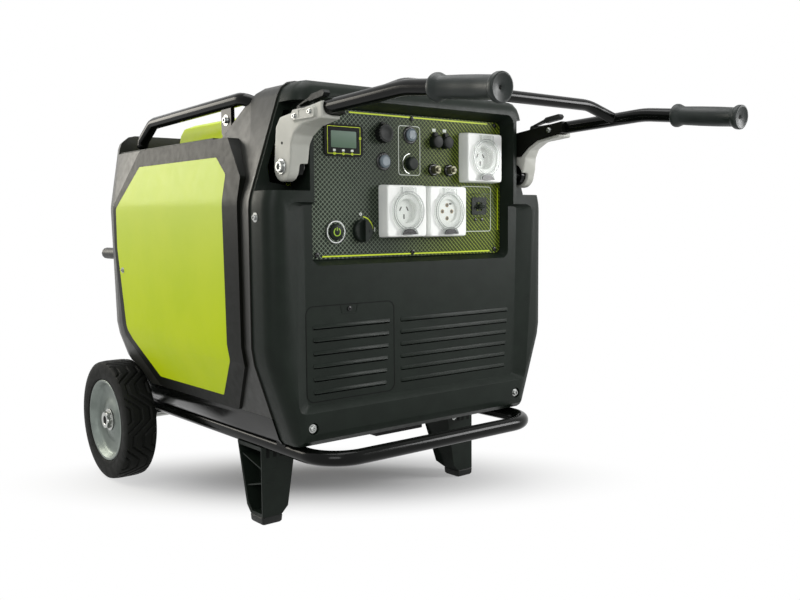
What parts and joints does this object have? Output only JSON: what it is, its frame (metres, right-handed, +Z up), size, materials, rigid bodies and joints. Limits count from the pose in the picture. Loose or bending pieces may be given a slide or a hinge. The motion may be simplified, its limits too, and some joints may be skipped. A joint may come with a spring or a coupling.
{
  "type": "inverter generator",
  "caption": "Closed inverter generator on a tube base with wheels at the rear, front legs, a folding pull handle, louvred front cover and a control panel with covered sockets.",
  "frame": {"origin": "bottom centre of the bounding box, on the ground", "axes": "+X to the right seen from the panel side, the panel and handle face -Y, +Z up"},
  "size_m": [0.762, 1.3092, 0.833],
  "materials": {
    "black_plastic": "satin moulded",
    "hoop_plastic": "semi gloss",
    "lime_panel": "gloss",
    "black_steel": "powder coated",
    "rubber": "matt",
    "tyre": "matt",
    "rim_steel": "zinc plated",
    "cast_grey": "painted casting",
    "zinc": "zinc plated",
    "brass": "bright",
    "panel_face": "printed",
    "screen": "gloss",
    "socket_white": "satin",
    "flap_clear": "clear",
    "engine_metal": "as cast",
    "battery_case": "matt"
  },
  "bodies": {
    "generator": {"base_frame": "black_steel", "base_tray": "black_steel", "axle": "zinc", "front_cover": "black_plastic", "service_door": "black_plastic", "front_hoop": "hoop_plastic", "rear_cover": "black_plastic", "top_deck": "black_plastic", "fuel_tank": "lime_panel", "exhaust_outlet": "zinc", "control_panel": "panel_face", "display": "screen", "parallel_jacks": "black_plastic", "output_terminals": "brass", "engine_block": "engine_metal", "alternator_stator": "engine_metal", "muffler": "zinc", "inverter_module": "engine_metal", "battery": "battery_case", "air_filter": "black_plastic", "left_leg": "black_steel", "left_foot": "rubber", "left_side_frame": "black_plastic", "left_side_panel": "lime_panel", "left_top_rail": "black_steel", "left_pivot_bolt": "zinc", "right_leg": "black_steel", "right_foot": "rubber", "right_side_frame": "black_plastic", "right_side_panel": "lime_panel", "right_top_rail": "black_steel", "right_pivot_bolt": "zinc", "left_socket": "socket_white", "centre_socket": "socket_white", "upper_socket": "socket_white"},
    "handle": {"handle_frame": "black_steel", "left_handle_arm": "cast_grey", "left_arm_cover": "black_plastic", "left_grip": "rubber", "right_handle_arm": "cast_grey", "right_arm_cover": "black_plastic", "right_grip": "rubber"},
    "start_button": {"start_button": "black_plastic"},
    "engine_switch": {"engine_switch_knob": "black_plastic"},
    "remote_cap": {"remote_cap": "black_plastic"},
    "eco_switch": {"eco_switch": "black_plastic"},
    "remote_switch": {"remote_switch": "black_plastic"},
    "breaker": {"breaker_switch": "black_plastic"},
    "dc_cap": {"dc_outlet_cap": "rubber"},
    "fuel_cap": {"fuel_cap": "black_plastic"},
    "rotor": {"alternator_rotor": "zinc"},
    "left_lever": {"left_lock_lever": "rubber"},
    "left_wheel": {"left_tyre": "tyre", "left_rim": "rim_steel"},
    "right_lever": {"right_lock_lever": "rubber"},
    "right_wheel": {"right_tyre": "tyre", "right_rim": "rim_steel"},
    "left_flap": {"left_flap": "flap_clear"},
    "centre_flap": {"centre_flap": "flap_clear"},
    "upper_flap": {"upper_flap": "flap_clear"}
  },
  "joints": [
    {"name": "handle_fold", "type": "hinge", "parent": "generator", "child": "handle", "pos_m": [0, -0.14091, 0.677], "axis": [1, 0, 0], "range_deg": [0, 90]},
    {"name": "left_lever_lift", "type": "hinge", "parent": "handle", "child": "left_lever", "pos_m": [-0.2895, -0.18041, 0.77266], "axis": [-1, 0, 0], "range_deg": [0, 22], "stiffness_Nm_per_rad": 0.6},
    {"name": "left_wheel_spin", "type": "hinge", "parent": "generator", "child": "left_wheel", "pos_m": [-0.345, 0.51959, 0.135], "axis": [1, 0, 0], "continuous": true},
    {"name": "right_lever_lift", "type": "hinge", "parent": "handle", "child": "right_lever", "pos_m": [0.2895, -0.18041, 0.77266], "axis": [-1, 0, 0], "range_deg": [0, 22], "stiffness_Nm_per_rad": 0.6},
    {"name": "right_wheel_spin", "type": "hinge", "parent": "generator", "child": "right_wheel", "pos_m": [0.345, 0.51959, 0.135], "axis": [1, 0, 0], "continuous": true},
    {"name": "start_press", "type": "slide", "parent": "generator", "child": "start_button", "axis": [0, 1, 0], "range_m": [0, 0.004], "stiffness_N_per_m": 800},
    {"name": "engine_switch_turn", "type": "hinge", "parent": "generator", "child": "engine_switch", "pos_m": [-0.12395, -0.12541, 0.5645], "axis": [0, 1, 0], "range_deg": [0, 90]},
    {"name": "remote_cap_turn", "type": "hinge", "parent": "generator", "child": "remote_cap", "pos_m": [-0.004, -0.12541, 0.693], "axis": [0, 1, 0], "range_deg": [0, 90]},
    {"name": "eco_rock", "type": "hinge", "parent": "generator", "child": "eco_switch", "pos_m": [-0.07, -0.12541, 0.695], "axis": [0, 0, 1], "range_deg": [-6, 6]},
    {"name": "remote_rock", "type": "hinge", "parent": "generator", "child": "remote_switch", "pos_m": [-0.004, -0.12541, 0.748], "axis": [0, 0, 1], "range_deg": [-6, 6]},
    {"name": "breaker_rock", "type": "hinge", "parent": "generator", "child": "breaker", "pos_m": [0.181, -0.12391, 0.611], "axis": [1, 0, 0], "range_deg": [-12, 12]},
    {"name": "dc_cap_lift", "type": "hinge", "parent": "generator", "child": "dc_cap", "pos_m": [-0.074, -0.12941, 0.7665], "axis": [-1, 0, 0], "range_deg": [0, 90]},
    {"name": "left_flap_lift", "type": "hinge", "parent": "generator", "child": "left_flap", "pos_m": [-0.0329, -0.15121, 0.6466], "axis": [-1, 0, 0], "range_deg": [0, 100]},
    {"name": "centre_flap_lift", "type": "hinge", "parent": "generator", "child": "centre_flap", "pos_m": [0.0736, -0.15121, 0.646], "axis": [-1, 0, 0], "range_deg": [0, 100]},
    {"name": "upper_flap_lift", "type": "hinge", "parent": "generator", "child": "upper_flap", "pos_m": [0.1755, -0.15121, 0.7551], "axis": [-1, 0, 0], "range_deg": [0, 100]},
    {"name": "fuel_cap_turn", "type": "hinge", "parent": "generator", "child": "fuel_cap", "pos_m": [0, 0.25459, 0.796], "axis": [0, 0, 1], "range_deg": [0, 120]},
    {"name": "rotor_spin", "type": "hinge", "parent": "generator", "child": "rotor", "pos_m": [0, 0.20459, 0.33], "axis": [0, 1, 0], "continuous": true}
  ]
}
